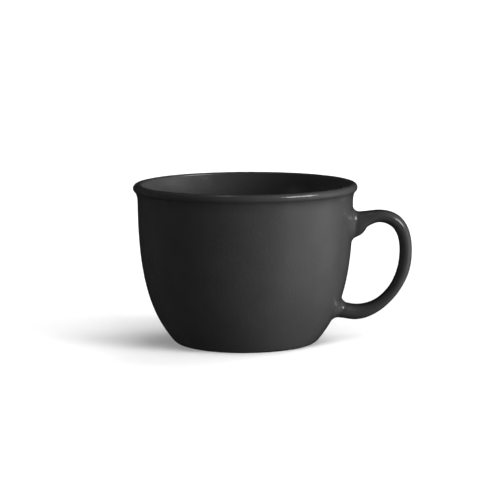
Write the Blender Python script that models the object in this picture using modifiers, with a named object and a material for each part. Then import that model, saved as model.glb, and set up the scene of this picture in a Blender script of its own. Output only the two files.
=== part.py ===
"""A wide ceramic mug: a turned bowl with a rolled lip and a foot ring, a loop handle, and the two collars of
slip that join the handle's ends to the wall.

Z is up and 0 is the surface that the mug stands on. The handle points along +X, and the origin is the middle
of the whole mug's footprint box, so the bowl's own axis lies a little to the -X side of it.
"""

import math

import bmesh
import bpy
from mathutils import Vector
from mathutils.geometry import interpolate_bezier

MM = 0.001

# Bowl
RIM_RADIUS = 58.0 * MM
HEIGHT = 82.8 * MM
LIP_RADIUS = 2.25 * MM
LIP_WIDTH = 4.4 * MM
INNER_LIP_RADIUS = 0.9 * MM
LIP_TILT = 14  # degrees that the lip's top slopes down towards its inner edge
LIP_CROWN = 0.15 * MM  # how much lower that edge lies than the top
LIP_REACH = 0.5 * MM  # how far each slope carries into the crown
FLARE_ANGLE = -50  # degrees round the lip's edge, where the flare below runs into it
FLARE_RUN = 1.2 * MM  # how far the lip's slope carries down the flare
NECK_RADIUS = 55.7 * MM
NECK_HEIGHT = 72.6 * MM
NECK_RISE = 3.0 * MM  # how far the neck stays upright above its narrowest point
BELLY_DROP = 41.4 * MM  # how far the wall stays nearly upright below the neck
FOOT_EDGE_RADIUS = 38.3 * MM
FOOT_EDGE_HEIGHT = 2.0 * MM
FOOT_EDGE_HEADING = 51  # degrees above level, the wall's slope where it leaves the foot
BELLY_TUCK = 16.2 * MM  # how far that slope carries up the wall
INNER_NECK_RADIUS = 52.0 * MM
INNER_NECK_HEIGHT = 66.0 * MM
INNER_NECK_RISE = 5.0 * MM
INNER_LIP_LEAN = Vector((1.1, 6.0)) * MM  # the slope of the inside where it runs into the lip
INNER_DROP = 38.0 * MM  # how far the inside stays nearly upright below its neck
FLOOR_HEIGHT = 6.0 * MM
FLOOR_FLAT_RADIUS = 22.0 * MM
FLOOR_REACH = 24.0 * MM  # how far the inside keeps nearly level beyond the flat floor
FOOT_ROLL = 1.4 * MM  # how softly the wall turns under the foot
FOOT_OUTER_RADIUS = 34.8 * MM
FOOT_INNER_RADIUS = 30.5 * MM
RECESS_DEPTH = 1.6 * MM
RECESS_SLOPE = 2.4 * MM
TURNS = 64

# Points along each stretch of the bowl's profile
INSIDE_STEPS = 12
INNER_FLARE_STEPS = 4
INNER_LIP_STEPS = 3
CROWN_STEPS = 2
OUTER_LIP_STEPS = 4
UNDER_LIP_STEPS = 2
FLARE_STEPS = 4
BELLY_STEPS = 14
FOOT_STEPS = 4
RECESS_STEPS = 3

# Handle: each rail is the loop's outline in the XZ plane, as knots of
# (distance from the bowl's axis, height, heading in degrees, reach back, reach ahead)
OUTER_RAIL = (
    (59.2, 67.6, 3, 0.0, 3.0),
    (69.0, 68.4, 0, 1.9, 13.0),
    (86.3, 47.2, -90, 11.9, 8.5),
    (79.3, 25.4, -125, 8.7, 9.1),
    (56.8, 11.2, -180, 8.2, 2.0),
    (49.8, 12.1, -188, 2.3, 0.0),
)
INNER_RAIL = (
    (59.3, 55.3, 26, 0.0, 1.0),
    (62.3, 58.6, 66, 1.7, 1.9),
    (69.0, 62.0, 0, 1.5, 7.7),
    (79.9, 47.3, -90, 8.2, 8.0),
    (74.0, 27.6, -127, 5.9, 7.3),
    (57.8, 19.0, -180, 6.5, 1.7),
    (53.6, 19.5, -192, 1.5, 0.0),
)
OUTER_COUNTS = (8, 10, 8, 8, 4)
INNER_COUNTS = (4, 4, 10, 8, 8, 4)
HALF_WIDTH = 6.2 * MM
ROOT_HALF_WIDTH = 7.0 * MM
SECTION_POWER = 2.4  # 2 is an ellipse, and more is squarer
SECTION_SIDES = 24
FURTHEST_KNOT = 2

# Slip joints
UPPER_FILLETS = (3.6 * MM, 1.8 * MM)  # fillet radius on the outer rail and on the inner rail
LOWER_FILLETS = (2.8 * MM, 4.2 * MM)
FILLET_STEPS = 5
FOOTPRINT_SCALES = (0.7, 0.35)  # the inner rings of the face against the wall, as shares of the whole
SEARCH_REACH = 12.0 * MM  # further than any side of a joint runs before it meets the wall
SEARCH_STEPS = 24
JOINT_GAP = 0.3 * MM

AXIS_X = (RIM_RADIUS - OUTER_RAIL[FURTHEST_KNOT][0] * MM) / 2

GLAZE_COLOUR = (0.045, 0.045, 0.0455, 1.0)
GLAZE_ROUGHNESS = 0.13
SHARP_ANGLE = math.radians(50)  # edges bent more than this are shaded sharp


def heading(degrees):
    """The unit direction this many degrees up from level, away from the axis."""
    return Vector((math.cos(math.radians(degrees)), math.sin(math.radians(degrees))))


def curve(start, start_handle, end_handle, end, count):
    """A cubic curve as count + 1 points in the (radius, height) plane."""
    handles = [Vector(point) for point in (start, start_handle, end_handle, end)]
    return interpolate_bezier(*handles, count + 1)


def joined(*stretches):
    """Stretches that meet end to end, as one list with each shared point kept once."""
    points = list(stretches[0])
    for stretch in stretches[1:]:
        points += stretch[1:]
    return points


def belly(count):
    """The outside of the wall, from the neck down to the foot's edge."""
    foot_edge = Vector((FOOT_EDGE_RADIUS, FOOT_EDGE_HEIGHT))
    neck = (NECK_RADIUS, NECK_HEIGHT)
    below_neck = (NECK_RADIUS, NECK_HEIGHT - BELLY_DROP)
    return curve(neck, below_neck, foot_edge + BELLY_TUCK * heading(FOOT_EDGE_HEADING), foot_edge, count)


def arc(centre, radius, start, end, count):
    """An arc about a centre as count + 1 points, between two angles in degrees."""
    angles = [math.radians(start + (end - start) * step / count) for step in range(count + 1)]
    return [centre + radius * Vector((math.cos(angle), math.sin(angle))) for angle in angles]


def lip():
    """The edge of the lip, from its inner side over the gently crowned top to where the flare begins."""
    inner = Vector((RIM_RADIUS - LIP_WIDTH + INNER_LIP_RADIUS, HEIGHT - INNER_LIP_RADIUS - LIP_CROWN))
    outer = Vector((RIM_RADIUS - LIP_RADIUS, HEIGHT - LIP_RADIUS))
    inside = arc(inner, INNER_LIP_RADIUS, 180, 90 + LIP_TILT, INNER_LIP_STEPS)
    outside = arc(outer, LIP_RADIUS, 90, 0, OUTER_LIP_STEPS)
    off_inside = inside[-1] + LIP_REACH * heading(LIP_TILT)
    crown = curve(inside[-1], off_inside, outside[0] - Vector((LIP_REACH, 0)), outside[0], CROWN_STEPS)
    return joined(inside, crown, outside, arc(outer, LIP_RADIUS, 0, FLARE_ANGLE, UNDER_LIP_STEPS))


def inside_profile(edge):
    """Up the inside, from the edge of the flat floor to the lip."""
    floor_edge = (FLOOR_FLAT_RADIUS, FLOOR_HEIGHT)
    beyond_floor = (FLOOR_FLAT_RADIUS + FLOOR_REACH, FLOOR_HEIGHT)
    neck = (INNER_NECK_RADIUS, INNER_NECK_HEIGHT)
    below_neck = (INNER_NECK_RADIUS, INNER_NECK_HEIGHT - INNER_DROP)
    above_neck = (INNER_NECK_RADIUS, INNER_NECK_HEIGHT + INNER_NECK_RISE)
    side = curve(floor_edge, beyond_floor, below_neck, neck, INSIDE_STEPS)
    return joined(side, curve(neck, above_neck, edge - INNER_LIP_LEAN, edge, INNER_FLARE_STEPS))


def foot_profile(wall_end):
    """From the wall's lower end round the foot ring's outer corner, and the slope up into the recess."""
    roll = wall_end - FOOT_ROLL * heading(FOOT_EDGE_HEADING)
    foot_outer = (FOOT_OUTER_RADIUS, 0)
    corner = curve(wall_end, roll, (FOOT_OUTER_RADIUS + FOOT_ROLL, 0), foot_outer, FOOT_STEPS)
    half_way = FOOT_INNER_RADIUS - RECESS_SLOPE / 2
    recess_edge = (FOOT_INNER_RADIUS - RECESS_SLOPE, RECESS_DEPTH)
    slope = curve((FOOT_INNER_RADIUS, 0), (half_way, 0), (half_way, RECESS_DEPTH), recess_edge, RECESS_STEPS)
    return corner, slope


def bowl_profile():
    """Up the inside from the middle of the floor, over the lip, down the outside and in under the foot."""
    edge = lip()
    neck = (NECK_RADIUS, NECK_HEIGHT)
    above_neck = (NECK_RADIUS, NECK_HEIGHT + NECK_RISE)
    flare = curve(edge[-1], edge[-1] + FLARE_RUN * heading(FLARE_ANGLE - 90), above_neck, neck, FLARE_STEPS)
    wall = belly(BELLY_STEPS)
    corner, slope = foot_profile(wall[-1])
    middle_of_floor = [Vector((0, FLOOR_HEIGHT))]
    middle_of_recess = [Vector((0, RECESS_DEPTH))]
    upper = joined(inside_profile(edge[0]), edge, flare, wall, corner)
    return middle_of_floor + upper + slope + middle_of_recess


WALL_POINTS = belly(60)  # fine enough to measure distances from


def wall_distance(point):
    """How far a point stands off the outside of the wall, negative within it."""
    radius = math.hypot(point.x, point.y)
    for above, below in zip(WALL_POINTS, WALL_POINTS[1:]):
        if below.y <= point.z:
            break
    across = below - above
    wall_radius = above.x + across.x * (point.z - above.y) / across.y
    return (radius - wall_radius) * abs(across.y) / across.length


def rail(knots, counts):
    """A rail's points, with counts of them along each stretch between two knots."""
    stretches = []
    for near, far, count in zip(knots, knots[1:], counts):
        start = MM * Vector(near[:2])
        end = MM * Vector(far[:2])
        leaving = start + MM * near[4] * heading(near[2])
        arriving = end - MM * far[3] * heading(far[2])
        stretches.append(curve(start, leaving, arriving, end, count))
    return joined(*stretches)


def section(outer, inner, half_width, scale=1.0):
    """The handle's cross-section between a point on each rail, as (point, outward direction) pairs."""
    centre = (outer + inner) / 2
    arm = (outer - inner) / 2
    along_arm = arm.normalized()
    ring = []
    for side in range(SECTION_SIDES):
        angle = 2 * math.pi * side / SECTION_SIDES
        c, s = math.cos(angle), math.sin(angle)
        u = math.copysign(abs(c) ** (2 / SECTION_POWER), c)
        v = math.copysign(abs(s) ** (2 / SECTION_POWER), s)
        flat = centre + scale * u * arm
        point = Vector((flat.x, scale * v * half_width, flat.y))
        lean = math.copysign(abs(u) ** (SECTION_POWER - 1), u) / arm.length
        spread = math.copysign(abs(v) ** (SECTION_POWER - 1), v) / half_width
        outward = Vector((lean * along_arm.x, spread, lean * along_arm.y)).normalized()
        ring.append((point, outward))
    return ring


def handle_rings():
    """The handle's sections from its upper end round to its lower end."""
    outer = rail(OUTER_RAIL, OUTER_COUNTS)
    inner = rail(INNER_RAIL, INNER_COUNTS)
    rings = []
    for station, (outside, inside) in enumerate(zip(outer, inner)):
        from_middle = abs(2 * station / (len(outer) - 1) - 1)
        half_width = HALF_WIDTH + (ROOT_HALF_WIDTH - HALF_WIDTH) * from_middle**4
        rings.append([point for point, _ in section(outside, inside, half_width)])
    return rings


def slip_joint_rings(outer_knot, inner_knot, sign, fillets):
    """A slip joint's rings, from the handle's end to the wall, spreading into a fillet as they reach it.

    Both rails carry straight on past the handle's end, and sign is -1 where they run against their headings.
    """
    ends = [MM * Vector(knot[:2]) for knot in (outer_knot, inner_knot)]
    ways = [sign * heading(knot[2]) for knot in (outer_knot, inner_knot)]

    def ring_at(reach, scale=1.0):
        outer, inner = (end + reach * way for end, way in zip(ends, ways))
        return section(outer, inner, ROOT_HALF_WIDTH, scale)

    def point_at(side, distance, spread, scale=1.0):
        """The point on this side that stands this far off the wall after it has been spread outwards."""
        near, far = JOINT_GAP, SEARCH_REACH
        for _ in range(SEARCH_STEPS):
            middle = (near + far) / 2
            point, outward = ring_at(middle, scale)[side]
            point = point + spread * outward
            if wall_distance(point) > distance:
                near = middle
            else:
                far = middle
        return point

    sides = range(SECTION_SIDES)
    shares = [0.5 + 0.5 * math.cos(2 * math.pi * side / SECTION_SIDES) for side in sides]
    radii = [fillets[1] + (fillets[0] - fillets[1]) * share for share in shares]
    turns = [math.asin(1 - JOINT_GAP / radius) for radius in radii]
    rings = [[point for point, _ in ring_at(JOINT_GAP)]]
    for step in range(1, FILLET_STEPS + 1):
        ring = []
        for side, radius, turn in zip(sides, radii, turns):
            angle = turn * step / FILLET_STEPS
            ring.append(point_at(side, radius * (1 - math.sin(angle)), radius * (1 - math.cos(angle))))
        rings.append(ring)
    for scale in FOOTPRINT_SCALES:
        spreads = [scale * radius * (1 - math.cos(turn)) for radius, turn in zip(radii, turns)]
        rings.append([point_at(side, JOINT_GAP, spreads[side], scale) for side in sides])
    return rings


def glaze(name):
    material = bpy.data.materials.new(name)
    material.use_nodes = True
    shader = material.node_tree.nodes["Principled BSDF"]
    shader.inputs["Base Color"].default_value = GLAZE_COLOUR
    shader.inputs["Roughness"].default_value = GLAZE_ROUGHNESS
    shader.inputs["Metallic"].default_value = 0.0
    return material


def add_object(name, mesh, material, parent, collection):
    mesh.materials.append(material)
    piece = bpy.data.objects.new(name, mesh)
    piece.parent = parent
    collection.objects.link(piece)
    return piece


def lofted_mesh(name, rings):
    """One closed skin through the rings, flat across the first and the last."""
    skin = bmesh.new()
    loops = [[skin.verts.new(point) for point in ring] for ring in rings]
    for ring, following in zip(loops, loops[1:]):
        for side in range(SECTION_SIDES):
            after = (side + 1) % SECTION_SIDES
            skin.faces.new((ring[side], ring[after], following[after], following[side]))
    skin.faces.new(loops[0])
    skin.faces.new(loops[-1])
    bmesh.ops.recalc_face_normals(skin, faces=skin.faces)
    mesh = bpy.data.meshes.new(name)
    skin.to_mesh(mesh)
    skin.free()
    mesh.shade_smooth()
    mesh.set_sharp_from_angle(angle=SHARP_ANGLE)
    return mesh


def turned_mesh(name, profile):
    """The profile as a run of edges in the XZ plane, for a Screw to turn."""
    mesh = bpy.data.meshes.new(name)
    edges = [(i, i + 1) for i in range(len(profile) - 1)]
    mesh.from_pydata([(radius, 0, height) for radius, height in profile], edges, [])
    return mesh


def add_bowl(material, parent, collection):
    bowl = add_object("mug_body", turned_mesh("mug_body", bowl_profile()), material, parent, collection)
    screw = bowl.modifiers.new("Turn", "SCREW")
    screw.steps = screw.render_steps = TURNS
    screw.use_merge_vertices = True
    screw.merge_threshold = 0.01 * MM
    screw.use_smooth_shade = True


def clear_scene():
    for thing in list(bpy.data.objects):
        bpy.data.objects.remove(thing, do_unlink=True)


def main():
    clear_scene()
    collection = bpy.data.collections.new("Ceramic mug")
    bpy.context.scene.collection.children.link(collection)
    axis = bpy.data.objects.new("bowl_axis", None)
    axis.location.x = AXIS_X
    collection.objects.link(axis)

    body_glaze = glaze("Body glaze")
    handle_glaze = glaze("Handle glaze")
    slip_glaze = glaze("Slip joint glaze")

    add_bowl(body_glaze, axis, collection)
    add_object("handle", lofted_mesh("handle", handle_rings()), handle_glaze, axis, collection)
    upper = slip_joint_rings(OUTER_RAIL[0], INNER_RAIL[0], -1, UPPER_FILLETS)
    lower = slip_joint_rings(OUTER_RAIL[-1], INNER_RAIL[-1], 1, LOWER_FILLETS)
    for name, rings in (("upper_slip_joint", upper), ("lower_slip_joint", lower)):
        add_object(name, lofted_mesh(name, rings), slip_glaze, axis, collection)


main()
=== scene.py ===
"""The ceramic mug's looks: fine turned and lofted meshes in place of the plain solids, with a black glaze.

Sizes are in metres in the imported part's frame, apart from the handle's rails. The bowl's axis and its outer
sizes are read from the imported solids, and the rest of the shape follows the same dimensions as the part's
source.
"""

import math

import bpy
import numpy as np
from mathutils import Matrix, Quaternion, Vector


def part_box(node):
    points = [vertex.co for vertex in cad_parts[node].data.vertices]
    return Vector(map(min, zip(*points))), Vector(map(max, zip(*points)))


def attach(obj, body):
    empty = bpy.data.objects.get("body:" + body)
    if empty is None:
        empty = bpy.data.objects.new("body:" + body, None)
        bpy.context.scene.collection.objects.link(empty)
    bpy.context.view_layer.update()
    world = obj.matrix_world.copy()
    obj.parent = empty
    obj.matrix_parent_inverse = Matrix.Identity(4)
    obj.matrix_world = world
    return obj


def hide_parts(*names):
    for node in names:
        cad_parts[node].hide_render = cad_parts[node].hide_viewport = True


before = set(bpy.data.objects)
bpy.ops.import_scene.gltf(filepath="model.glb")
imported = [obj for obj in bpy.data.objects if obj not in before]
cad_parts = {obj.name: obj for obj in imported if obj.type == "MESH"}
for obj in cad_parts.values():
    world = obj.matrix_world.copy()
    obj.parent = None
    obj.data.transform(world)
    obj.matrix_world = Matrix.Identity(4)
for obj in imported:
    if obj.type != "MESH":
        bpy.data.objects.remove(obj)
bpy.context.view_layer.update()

MM = 0.001

BOWL_LOW, BOWL_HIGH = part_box("mug_body")
AXIS_X = (BOWL_LOW.x + BOWL_HIGH.x) / 2
RIM_RADIUS = (BOWL_HIGH.x - BOWL_LOW.x) / 2
HEIGHT = BOWL_HIGH.z

# Bowl, as a profile whose pairs are (distance from the axis, height). Headings are in degrees, from outward
# towards up. A drop, rise, reach or tuck is how far a curve's handle stands off its end.
LIP_RADIUS = 2.25 * MM
LIP_WIDTH = 4.4 * MM
LIP_TILT = 14  # how steeply the crown climbs from the lip's inner side
LIP_CROWN = 0.15 * MM
LIP_REACH = 0.5 * MM
INNER_LIP_RADIUS = 0.9 * MM
INNER_LIP_REACH = np.array((1.1, 6.0)) * MM
FLARE_ANGLE = -50
FLARE_REACH = 1.2 * MM
NECK = np.array((55.7, 72.6)) * MM
NECK_RISE = 3.0 * MM
INNER_NECK = np.array((52.0, 66.0)) * MM
INNER_NECK_RISE = 5.0 * MM
INNER_WALL_DROP = 38.0 * MM
BELLY_DROP = 41.4 * MM
BELLY_TUCK = 16.2 * MM
FOOT_EDGE = np.array((38.3, 2.0)) * MM
FOOT_EDGE_HEADING = 51
FOOT_CORNER_REACH = 1.4 * MM
FOOT_OUTER_RADIUS = 34.8 * MM
FOOT_INNER_RADIUS = 30.5 * MM
INSIDE_EDGE = np.array((22.0, 6.0)) * MM  # where the flat inside of the bowl ends
INSIDE_REACH = 24.0 * MM
RECESS_DEPTH = 1.6 * MM
RECESS_SLOPE = 2.4 * MM
TURNS = 256
BARE_HEIGHT = 0.25 * MM
BARE_FACING = -0.8  # the ring that the mug stands on is left bare where it faces down this much

# Handle rails in the XZ plane, in mm: (distance from the axis, height, heading, reach back, reach ahead)
OUTER_RAIL = (
    (59.2, 67.6, 3, 0.0, 3.0),
    (69.0, 68.4, 0, 1.9, 13.0),
    (86.3, 47.2, -90, 11.9, 8.5),
    (79.3, 25.4, -125, 8.7, 9.1),
    (56.8, 11.2, -180, 8.2, 2.0),
    (49.8, 12.1, -188, 2.3, 0.0),
)
INNER_RAIL = (
    (59.3, 55.3, 26, 0.0, 1.0),
    (62.3, 58.6, 66, 1.7, 1.9),
    (69.0, 62.0, 0, 1.5, 7.7),
    (79.9, 47.3, -90, 8.2, 8.0),
    (74.0, 27.6, -127, 5.9, 7.3),
    (57.8, 19.0, -180, 6.5, 1.7),
    (53.6, 19.5, -192, 1.5, 0.0),
)
OUTER_STEPS = (32, 40, 32, 32, 16)
INNER_STEPS = (16, 16, 40, 32, 32, 16)
HALF_WIDTH = 6.2 * MM
ROOT_HALF_WIDTH = 7.0 * MM
ROOT_POWER = 4  # keeps the handle's widening close to its two roots
SECTION_POWER = 2.4
SECTION_SIDES = 96

# Slip fillets: (radius at the outer rail, radius at the inner rail)
UPPER_FILLETS = (3.6 * MM, 1.8 * MM)
LOWER_FILLETS = (2.8 * MM, 4.2 * MM)
FILLET_STEPS = 20
FILLET_SPREAD = 1.01  # how far a fillet's feather edge spreads, as a share of its radius
SINK = 0.04 * MM  # how far the feather edge runs on under the glaze of the wall
WALL_STEPS = 400
WALL_SEARCH = 12 * MM  # the wall is nearer to a handle's end than this
WALL_HALVINGS = 30

# Materials
IOR = 1.5
CLOUD_GRAINS = 9  # how many grains across the slow changes of colour and roughness are
NOISE_MIDDLE = (0.25, 0.75)
RAMP_ENDS = (0.3, 0.7)
WHITE = (1, 1, 1, 1)
FLOOR_ALBEDO = 0.9

# Lights. Azimuths, elevations and spreads are in degrees, as in direction().
GLOWS = (  # azimuth, elevation, sharpness, strength
    (54, -16, 14, 0.39),
    (91, -3, 14, 0.63),
    (76, 48, 14, 0.61),
)
FLOOR_SUNS = (  # azimuth, elevation, spread, share of the floor's brightness
    (-30, 12, 28, 0.28),
    (60, 12, 28, 0.30),
    (115, 32, 30, 0.15),
    (30, 62, 36, 0.265),
    (150, 62, 36, 0.265),
)
MUG_SUNS = (  # name, azimuth, elevation, spread, strength
    ("key", 68, 12, 60, 3.4),
    ("side", 90, 10, 60, 2.6),
    ("front", 0, 10, 60, 0.7),
    ("back", -140, 5, 100, 2.2),
)
PANELS = (  # name, azimuth, elevation, size, watts
    ("softbox", 61, 30, (0.7, 0.45), 9.0),
    ("top_card", -135, 78, (0.16, 0.16), 0.3),
)
PANEL_DISTANCE = 1.2

# Stage floor and camera
FLOOR_HALF_SIZE = 12.0  # far enough for its edges to stay out of the picture
CAMERA_ELEVATION = 8.285
CAMERA_DISTANCE = 1.1
CAMERA_HEIGHT = 0.042  # of the place on the bowl's axis that the camera stands back from
CAMERA_ROLL = -0.32
CAMERA_PAN = -0.1185
CAMERA_TILT = 0.2958
SENSOR_WIDTH = 36
LENS = 152.5
CLIP_START = 0.01


def heading(degrees):
    """A step of length 1 in a profile's plane."""
    return np.array((math.cos(math.radians(degrees)), math.sin(math.radians(degrees))))


def curve(start, start_handle, end_handle, end, steps):
    """Points along a cubic Bezier curve."""
    t = np.linspace(0, 1, steps + 1)[:, None]
    start, start_handle, end_handle, end = map(np.asarray, (start, start_handle, end_handle, end))
    return (
        (1 - t) ** 3 * start
        + 3 * (1 - t) ** 2 * t * start_handle
        + 3 * (1 - t) * t**2 * end_handle
        + t**3 * end
    )


def arc(centre, radius, start, end, steps):
    """Points along a round stretch, between two headings."""
    angles = np.radians(np.linspace(start, end, steps + 1))
    return centre + radius * np.column_stack((np.cos(angles), np.sin(angles)))


def joined(*stretches):
    """Stretches end to end, without the point that each one shares with the one before it."""
    return np.concatenate([stretches[0]] + [stretch[1:] for stretch in stretches[1:]])


def belly(steps):
    """The bowl's outer wall, from the neck down to the foot's edge."""
    tuck = FOOT_EDGE + BELLY_TUCK * heading(FOOT_EDGE_HEADING)
    return curve(NECK, NECK - (0, BELLY_DROP), tuck, FOOT_EDGE, steps)


WALL = belly(WALL_STEPS)


def lip_profile():
    """The rolled lip, from its inner side over the crown to the flare under its outer side."""
    outer_lip = np.array((RIM_RADIUS - LIP_RADIUS, HEIGHT - LIP_RADIUS))
    inner_lip = np.array(
        (RIM_RADIUS - LIP_WIDTH + INNER_LIP_RADIUS, HEIGHT - INNER_LIP_RADIUS - LIP_CROWN)
    )
    inner_side = arc(inner_lip, INNER_LIP_RADIUS, 180, 90 + LIP_TILT, steps=12)
    outer_side = arc(outer_lip, LIP_RADIUS, 90, 0, steps=16)
    underside = arc(outer_lip, LIP_RADIUS, 0, FLARE_ANGLE, steps=8)
    off_inside = inner_side[-1] + LIP_REACH * heading(LIP_TILT)
    crown = curve(inner_side[-1], off_inside, outer_side[0] - (LIP_REACH, 0), outer_side[0], steps=8)
    return joined(inner_side, crown, outer_side, underside)


def bowl_profile():
    """The bowl's whole half section, from the middle of its inside round to the middle of the recess."""
    lip = lip_profile()
    inside = curve(
        INSIDE_EDGE, INSIDE_EDGE + (INSIDE_REACH, 0), INNER_NECK - (0, INNER_WALL_DROP), INNER_NECK, steps=60
    )
    inner_flare = curve(
        INNER_NECK, INNER_NECK + (0, INNER_NECK_RISE), lip[0] - INNER_LIP_REACH, lip[0], steps=20
    )
    off_lip = lip[-1] + FLARE_REACH * heading(FLARE_ANGLE - 90)
    flare = curve(lip[-1], off_lip, NECK + (0, NECK_RISE), NECK, steps=12)
    foot = np.array((FOOT_OUTER_RADIUS, 0))
    off_belly = FOOT_EDGE - FOOT_CORNER_REACH * heading(FOOT_EDGE_HEADING)
    corner = curve(FOOT_EDGE, off_belly, foot + (FOOT_CORNER_REACH, 0), foot, steps=12)
    recess_out = np.array((FOOT_INNER_RADIUS, 0))
    recess_in = np.array((FOOT_INNER_RADIUS - RECESS_SLOPE, RECESS_DEPTH))
    middle = FOOT_INNER_RADIUS - RECESS_SLOPE / 2
    recess = curve(recess_out, (middle, 0), (middle, RECESS_DEPTH), recess_in, steps=10)
    upper = joined(inside, inner_flare, lip, flare, belly(steps=64), corner)
    inside_middle = [(0, INSIDE_EDGE[1]), (INSIDE_EDGE[0] / 2, INSIDE_EDGE[1])]
    return np.concatenate([inside_middle, upper, recess, [(0, RECESS_DEPTH)]])


def mesh_from(name, points, faces):
    mesh = bpy.data.meshes.new(name)
    mesh.from_pydata([tuple(p) for p in points], [], faces)
    mesh.update()
    mesh.shade_smooth()
    return mesh


def add_object(name, data):
    thing = bpy.data.objects.new(name, data)
    bpy.context.scene.collection.objects.link(thing)
    return thing


def add_piece(name, mesh, material, node):
    """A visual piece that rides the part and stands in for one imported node."""
    piece = add_object(name, mesh)
    mesh.materials.append(material)
    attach(piece, "root")
    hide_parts(node)
    return piece


def turned_mesh(name, profile):
    """A profile turned about the bowl's axis. It starts and ends on the axis."""
    rings = profile[1:-1]
    angles = np.linspace(0, 2 * math.pi, TURNS, endpoint=False)
    around = np.column_stack((np.cos(angles), np.sin(angles)))
    points = [(AXIS_X, 0, profile[0][1])]
    for radius, height in rings:
        points += [(AXIS_X + radius * c, radius * s, height) for c, s in around]
    points.append((AXIS_X, 0, profile[-1][1]))
    last = len(points) - 1
    faces = []
    for step in range(TURNS):
        after = (step + 1) % TURNS
        faces.append((0, 1 + step, 1 + after))
        for ring in range(len(rings) - 1):
            a, b = 1 + ring * TURNS, 1 + (ring + 1) * TURNS
            faces.append((a + step, b + step, b + after, a + after))
        base = 1 + (len(rings) - 1) * TURNS
        faces.append((base + after, base + step, last))
    return mesh_from(name, points, faces)


def rail(knots, step_counts):
    """Points along one of the handle's rails."""
    stretches = []
    for near, far, steps in zip(knots, knots[1:], step_counts):
        start, end = MM * np.array(near[:2]), MM * np.array(far[:2])
        leaving = start + MM * near[4] * heading(near[2])
        arriving = end - MM * far[3] * heading(far[2])
        stretches.append(curve(start, leaving, arriving, end, steps))
    return joined(*stretches)


ANGLES = np.linspace(0, 2 * math.pi, SECTION_SIDES, endpoint=False)
SIDE_U = np.sign(np.cos(ANGLES)) * np.abs(np.cos(ANGLES)) ** (2 / SECTION_POWER)
SIDE_V = np.sign(np.sin(ANGLES)) * np.abs(np.sin(ANGLES)) ** (2 / SECTION_POWER)


def section(outer, inner, half_width):
    """Points and outward directions round a superellipse that spans from the inner rail to the outer one.

    Each rail gives one point for the whole section, or one for each of its sides.
    """
    centre, arm = (outer + inner) / 2, (outer - inner) / 2
    length = np.linalg.norm(arm, axis=-1, keepdims=True)
    flat = centre + SIDE_U[:, None] * arm
    points = np.column_stack((flat[:, 0], SIDE_V * half_width, flat[:, 1]))
    lean = np.sign(SIDE_U) * np.abs(SIDE_U) ** (SECTION_POWER - 1) / length[..., 0]
    spread = np.sign(SIDE_V) * np.abs(SIDE_V) ** (SECTION_POWER - 1) / half_width
    along = arm / length
    outward = np.column_stack((lean * along[..., 0], spread, lean * along[..., 1]))
    return points, outward / np.linalg.norm(outward, axis=1, keepdims=True)


def wall_distance(points):
    """How far points about the bowl's axis stand off its outer wall, square to it."""
    radius = np.hypot(points[:, 0], points[:, 1])
    height = points[:, 2]
    wall = np.interp(height, WALL[::-1, 1], WALL[::-1, 0])
    slope = np.interp(height, WALL[::-1, 1], np.gradient(WALL[::-1, 0], WALL[::-1, 1]))
    return (radius - wall) / np.sqrt(1 + slope**2)


def fillet_rings(outer_knot, inner_knot, sign, fillets):
    """Rings that carry the handle's end section on to the wall and spread into a fillet there.

    The sign is 1 where the rails run towards the wall at these knots, and -1 where they run away from it.
    """
    ends = [MM * np.array(knot[:2]) for knot in (outer_knot, inner_knot)]
    ways = [sign * heading(knot[2]) for knot in (outer_knot, inner_knot)]
    radii = fillets[1] + (fillets[0] - fillets[1]) * (0.5 + 0.5 * np.cos(ANGLES))

    def reached(reach):
        outer, inner = (end + reach[:, None] * way for end, way in zip(ends, ways))
        return section(outer, inner, ROOT_HALF_WIDTH)

    def spread_to(distance, spread):
        """The section pushed outward by the spread, at the reach where it stands this far off the wall."""
        near = np.zeros(SECTION_SIDES)
        far = np.full(SECTION_SIDES, WALL_SEARCH)
        for _ in range(WALL_HALVINGS):
            middle = (near + far) / 2
            points, outward = reached(middle)
            points = points + spread[:, None] * outward
            outside = wall_distance(points) > distance
            near, far = np.where(outside, middle, near), np.where(outside, far, middle)
        return points

    rings = []
    for step in range(1, FILLET_STEPS + 1):
        angle = math.pi / 2 * step / FILLET_STEPS
        rings.append(spread_to(radii * (1 - math.sin(angle)), radii * (1 - math.cos(angle))))
    rings.append(spread_to(np.full(SECTION_SIDES, -SINK), radii * FILLET_SPREAD))
    return rings


def handle_grid():
    """The loop's sections, from its upper end to its lower end."""
    outer, inner = rail(OUTER_RAIL, OUTER_STEPS), rail(INNER_RAIL, INNER_STEPS)
    rings = []
    for station in range(len(outer)):
        from_middle = abs(2 * station / (len(outer) - 1) - 1)
        half_width = HALF_WIDTH + (ROOT_HALF_WIDTH - HALF_WIDTH) * from_middle**ROOT_POWER
        rings.append(section(outer[station], inner[station], half_width)[0])
    return np.array(rings)


def grid_normals(grid):
    """Outward normals of a closed-round grid of rings, from its neighbours in both directions."""
    along = np.gradient(grid, axis=0)
    around = np.roll(grid, -1, axis=1) - np.roll(grid, 1, axis=1)
    normals = np.cross(around, along)
    return normals / np.linalg.norm(normals, axis=2, keepdims=True)


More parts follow.
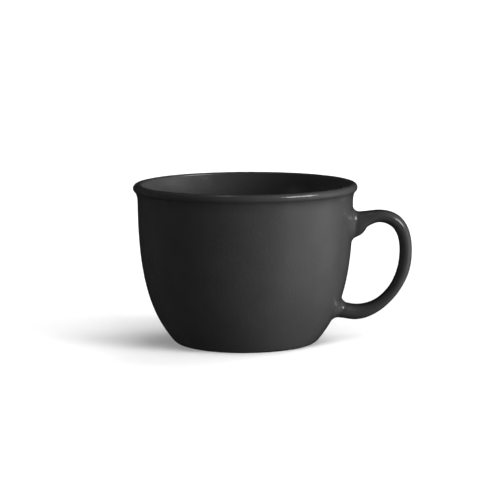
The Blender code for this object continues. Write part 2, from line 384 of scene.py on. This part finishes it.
def ring_mesh(name, grid, normals):
    """A closed skin over rings of points, fanned shut at both ends, with the shading of the whole sweep."""
    rings, sides = grid.shape[:2]
    points = [(AXIS_X + x, y, z) for x, y, z in grid.reshape(-1, 3)]
    for end in (grid[0], grid[-1]):
        x, y, z = end.mean(axis=0)
        points.append((AXIS_X + x, y, z))
    faces = []
    for ring in range(rings - 1):
        a, b = ring * sides, (ring + 1) * sides
        for side in range(sides):
            after = (side + 1) % sides
            faces.append((a + side, a + after, b + after, b + side))
    last = (rings - 1) * sides
    for side in range(sides):
        after = (side + 1) % sides
        faces.append((side, rings * sides, after))
        faces.append((last + after, rings * sides + 1, last + side))
    mesh = mesh_from(name, points, faces)
    flat_normals = normals.reshape(-1, 3)
    loops = []
    for face in mesh.polygons:
        capped = len(face.vertices) == 3
        for vertex in face.vertices:
            loops.append(tuple(face.normal) if capped else tuple(flat_normals[vertex]))
    mesh.normals_split_custom_set(loops)
    return mesh


def noise_at(nodes, links, size, detail):
    """Fine-grained noise in the part's own space, with features about this large in metres."""
    place = nodes.new("ShaderNodeTexCoord")
    noise = nodes.new("ShaderNodeTexNoise")
    noise.inputs["Scale"].default_value = 1 / size
    noise.inputs["Detail"].default_value = detail
    links.new(place.outputs["Object"], noise.inputs["Vector"])
    return noise.outputs["Fac"]


def ranged(nodes, links, value, low, high):
    """The value spread between two limits, from the middle half of its own range."""
    limits = nodes.new("ShaderNodeMapRange")
    names = ("From Min", "From Max", "To Min", "To Max")
    for socket, given in zip(names, (*NOISE_MIDDLE, low, high)):
        limits.inputs[socket].default_value = given
    links.new(value, limits.inputs["Value"])
    return limits.outputs["Result"]


def coloured(nodes, links, value, dark, light):
    """The value as a colour between a dark and a light one."""
    ramp = nodes.new("ShaderNodeValToRGB")
    for end, position, colour in zip(ramp.color_ramp.elements, RAMP_ENDS, (dark, light)):
        end.position = position
        end.color = (*colour, 1)
    links.new(value, ramp.inputs["Fac"])
    return ramp.outputs["Color"]


def textured(name, dark, light, roughness, grain, height):
    """A material whose colour, roughness and surface height all vary with the grain of its noise."""
    material = bpy.data.materials.new(name)
    material.use_nodes = True
    nodes, links = material.node_tree.nodes, material.node_tree.links
    shader = nodes["Principled BSDF"]
    shader.inputs["IOR"].default_value = IOR
    cloud = noise_at(nodes, links, CLOUD_GRAINS * grain, detail=3)
    fine = noise_at(nodes, links, grain, detail=2)
    links.new(coloured(nodes, links, cloud, dark, light), shader.inputs["Base Color"])
    links.new(ranged(nodes, links, cloud, *roughness), shader.inputs["Roughness"])
    bump = nodes.new("ShaderNodeBump")
    bump.inputs["Strength"].default_value = 1.0
    bump.inputs["Distance"].default_value = height
    links.new(fine, bump.inputs["Height"])
    links.new(bump.outputs["Normal"], shader.inputs["Normal"])
    return material


def black_glaze():
    """Glossy black with a faint orange peel."""
    return textured(
        "black_glaze",
        dark=(0.0430, 0.0430, 0.0434),
        light=(0.0475, 0.0475, 0.0480),
        roughness=(0.11, 0.15),
        grain=1.3 * MM,
        height=0.08 * MM,
    )


def bare_clay():
    """The fired clay where the mug stands on its foot ring, wiped clean of glaze."""
    return textured(
        "bare_clay",
        dark=(0.36, 0.31, 0.25),
        light=(0.47, 0.41, 0.34),
        roughness=(0.72, 0.9),
        grain=0.5 * MM,
        height=0.08 * MM,
    )


def floor_sweep():
    """A matt white, clear from below, so that it never hides the mug."""
    material = bpy.data.materials.new("floor")
    material.use_nodes = True
    nodes, links = material.node_tree.nodes, material.node_tree.links
    shader = nodes["Principled BSDF"]
    shader.inputs["Base Color"].default_value = (FLOOR_ALBEDO, FLOOR_ALBEDO, FLOOR_ALBEDO, 1)
    shader.inputs["Roughness"].default_value = 1.0
    shader.inputs["Specular IOR Level"].default_value = 0.0
    clear = nodes.new("ShaderNodeBsdfTransparent")
    side = nodes.new("ShaderNodeNewGeometry")
    mix = nodes.new("ShaderNodeMixShader")
    links.new(side.outputs["Backfacing"], mix.inputs[0])
    links.new(shader.outputs[0], mix.inputs[1])
    links.new(clear.outputs[0], mix.inputs[2])
    links.new(mix.outputs[0], nodes["Material Output"].inputs[0])
    return material


def add_bowl(glaze, clay):
    """The bowl, with bare clay on the flat of its foot ring."""
    bowl = add_piece("bowl", turned_mesh("bowl", bowl_profile()), glaze, "mug_body")
    bowl.data.materials.append(clay)
    for face in bowl.data.polygons:
        face.material_index = int(face.center.z < BARE_HEIGHT and face.normal.z < BARE_FACING)
    return bowl


def add_handle(glaze):
    """The loop and its two fillets, cut from one sweep so that the shading runs on without a seam."""
    upper = fillet_rings(OUTER_RAIL[0], INNER_RAIL[0], -1, UPPER_FILLETS)
    lower = fillet_rings(OUTER_RAIL[-1], INNER_RAIL[-1], 1, LOWER_FILLETS)
    loop = handle_grid()
    sweep = np.concatenate([np.array(upper[::-1]), loop, np.array(lower)])
    normals = grid_normals(sweep)
    top, bottom = len(upper), len(upper) + len(loop) - 1
    pieces = []
    for name, node, slot, first, last in (
        ("upper_slip_fillet", "upper_slip_joint", "slip_joint_glaze", 0, top),
        ("loop_handle", "handle", "handle_glaze", top, bottom),
        ("lower_slip_fillet", "lower_slip_joint", "slip_joint_glaze", bottom, len(sweep) - 1),
    ):
        mesh = ring_mesh(name, sweep[first : last + 1], normals[first : last + 1])
        pieces.append(add_piece(name, mesh, glaze, node))
    return pieces


def add_floor():
    """The white sweep that the mug stands on, which only the camera sees."""
    signs = ((-1, -1), (1, -1), (1, 1), (-1, 1))
    corners = [(FLOOR_HALF_SIZE * x, FLOOR_HALF_SIZE * y, 0) for x, y in signs]
    floor = add_object("floor", mesh_from("floor", corners, [(0, 1, 2, 3)]))
    floor.data.materials.append(floor_sweep())
    floor.visible_glossy = False
    floor.visible_diffuse = False
    floor.visible_shadow = False
    return floor


def direction(azimuth, elevation):
    """A way out from the mug. Azimuth 0 is towards the camera, and 90 is the handle's side."""
    a, e = math.radians(azimuth), math.radians(elevation)
    return Vector((math.sin(a) * math.cos(e), -math.cos(a) * math.cos(e), math.sin(e)))


def receiver_group(name, things):
    """A collection for a light to be linked to."""
    group = bpy.data.collections.new(name)
    for thing in things:
        group.objects.link(thing)
    return group


def shine_from(lamp, way):
    lamp.rotation_mode = "QUATERNION"
    lamp.rotation_quaternion = way.to_track_quat("Z", "Y")


def add_sun(name, azimuth, elevation, spread, strength, receivers):
    """A soft sun that lights only its receivers and doesn't show in the glaze."""
    light = bpy.data.lights.new(name, "SUN")
    light.angle = math.radians(spread)
    light.energy = strength
    lamp = add_object(name, light)
    shine_from(lamp, direction(azimuth, elevation))
    lamp.visible_glossy = False
    lamp.light_linking.receiver_collection = receivers


def add_panel(name, azimuth, elevation, size, power):
    """A lit panel that shows only as a reflection."""
    light = bpy.data.lights.new(name, "AREA")
    light.shape = "RECTANGLE"
    light.size, light.size_y = size
    light.energy = power
    lamp = add_object(name, light)
    way = direction(azimuth, elevation)
    lamp.location = Vector((AXIS_X, 0, HEIGHT / 2)) + PANEL_DISTANCE * way
    shine_from(lamp, way)
    lamp.visible_camera = False
    lamp.visible_diffuse = False


def add_lights(pieces, floor):
    on_floor = receiver_group("on_floor", [floor])
    on_mug = receiver_group("on_mug", pieces)
    for azimuth, elevation, spread, share in FLOOR_SUNS:
        strength = share * math.pi / FLOOR_ALBEDO / math.sin(math.radians(elevation))
        add_sun("floor_light", azimuth, elevation, spread, strength, on_floor)
    for name, azimuth, elevation, spread, strength in MUG_SUNS:
        add_sun(name, azimuth, elevation, spread, strength, on_mug)
    for name, azimuth, elevation, size, power in PANELS:
        add_panel(name, azimuth, elevation, size, power)


def add_world():
    """White to the camera, and soft glows from a few sides to everything else."""
    world = bpy.data.worlds.new("studio")
    bpy.context.scene.world = world
    world.use_nodes = True
    nodes, links = world.node_tree.nodes, world.node_tree.links

    def calculate(operation, value, other=0.0):
        node = nodes.new("ShaderNodeMath")
        node.operation = operation
        for socket, given in zip(node.inputs, (value, other)):
            if isinstance(given, (int, float)):
                socket.default_value = given
            else:
                links.new(given, socket)
        return node.outputs[0]

    way = nodes.new("ShaderNodeTexCoord").outputs["Generated"]
    total = 0.0
    for azimuth, elevation, sharpness, strength in GLOWS:
        towards = nodes.new("ShaderNodeVectorMath")
        towards.operation = "DOT_PRODUCT"
        towards.inputs[1].default_value = direction(azimuth, elevation)
        links.new(way, towards.inputs[0])
        off = calculate("SUBTRACT", towards.outputs["Value"], 1.0)
        lobe = calculate("EXPONENT", calculate("MULTIPLY", off, sharpness))
        total = calculate("ADD", calculate("MULTIPLY", lobe, strength), total)
    background = nodes["Background"]
    links.new(total, background.inputs["Strength"])
    background.inputs["Color"].default_value = WHITE
    seen = nodes.new("ShaderNodeBackground")
    seen.inputs["Color"].default_value = WHITE
    path = nodes.new("ShaderNodeLightPath")
    mix = nodes.new("ShaderNodeMixShader")
    links.new(path.outputs["Is Camera Ray"], mix.inputs[0])
    links.new(background.outputs[0], mix.inputs[1])
    links.new(seen.outputs[0], mix.inputs[2])
    links.new(mix.outputs[0], nodes["World Output"].inputs[0])


def add_camera():
    """A long lens that looks along +Y and a little down, from above the rim."""
    camera = add_object("camera", bpy.data.cameras.new("camera"))
    back = direction(0, CAMERA_ELEVATION)
    camera.location = Vector((AXIS_X, 0, CAMERA_HEIGHT)) + CAMERA_DISTANCE * back
    turn = back.to_track_quat("Z", "Y")
    for axis, degrees in (((0, 0, 1), CAMERA_ROLL), ((0, 1, 0), CAMERA_PAN), ((1, 0, 0), CAMERA_TILT)):
        turn = turn @ Quaternion(axis, math.radians(degrees))
    camera.rotation_mode = "QUATERNION"
    camera.rotation_quaternion = turn
    camera.data.sensor_width = SENSOR_WIDTH
    camera.data.lens = LENS
    camera.data.clip_start = CLIP_START
    bpy.context.scene.camera = camera


glaze = black_glaze()
pieces = [add_bowl(glaze, bare_clay())] + add_handle(glaze)
add_lights(pieces, add_floor())
add_world()
add_camera()
bpy.context.scene.view_settings.view_transform = "Standard"
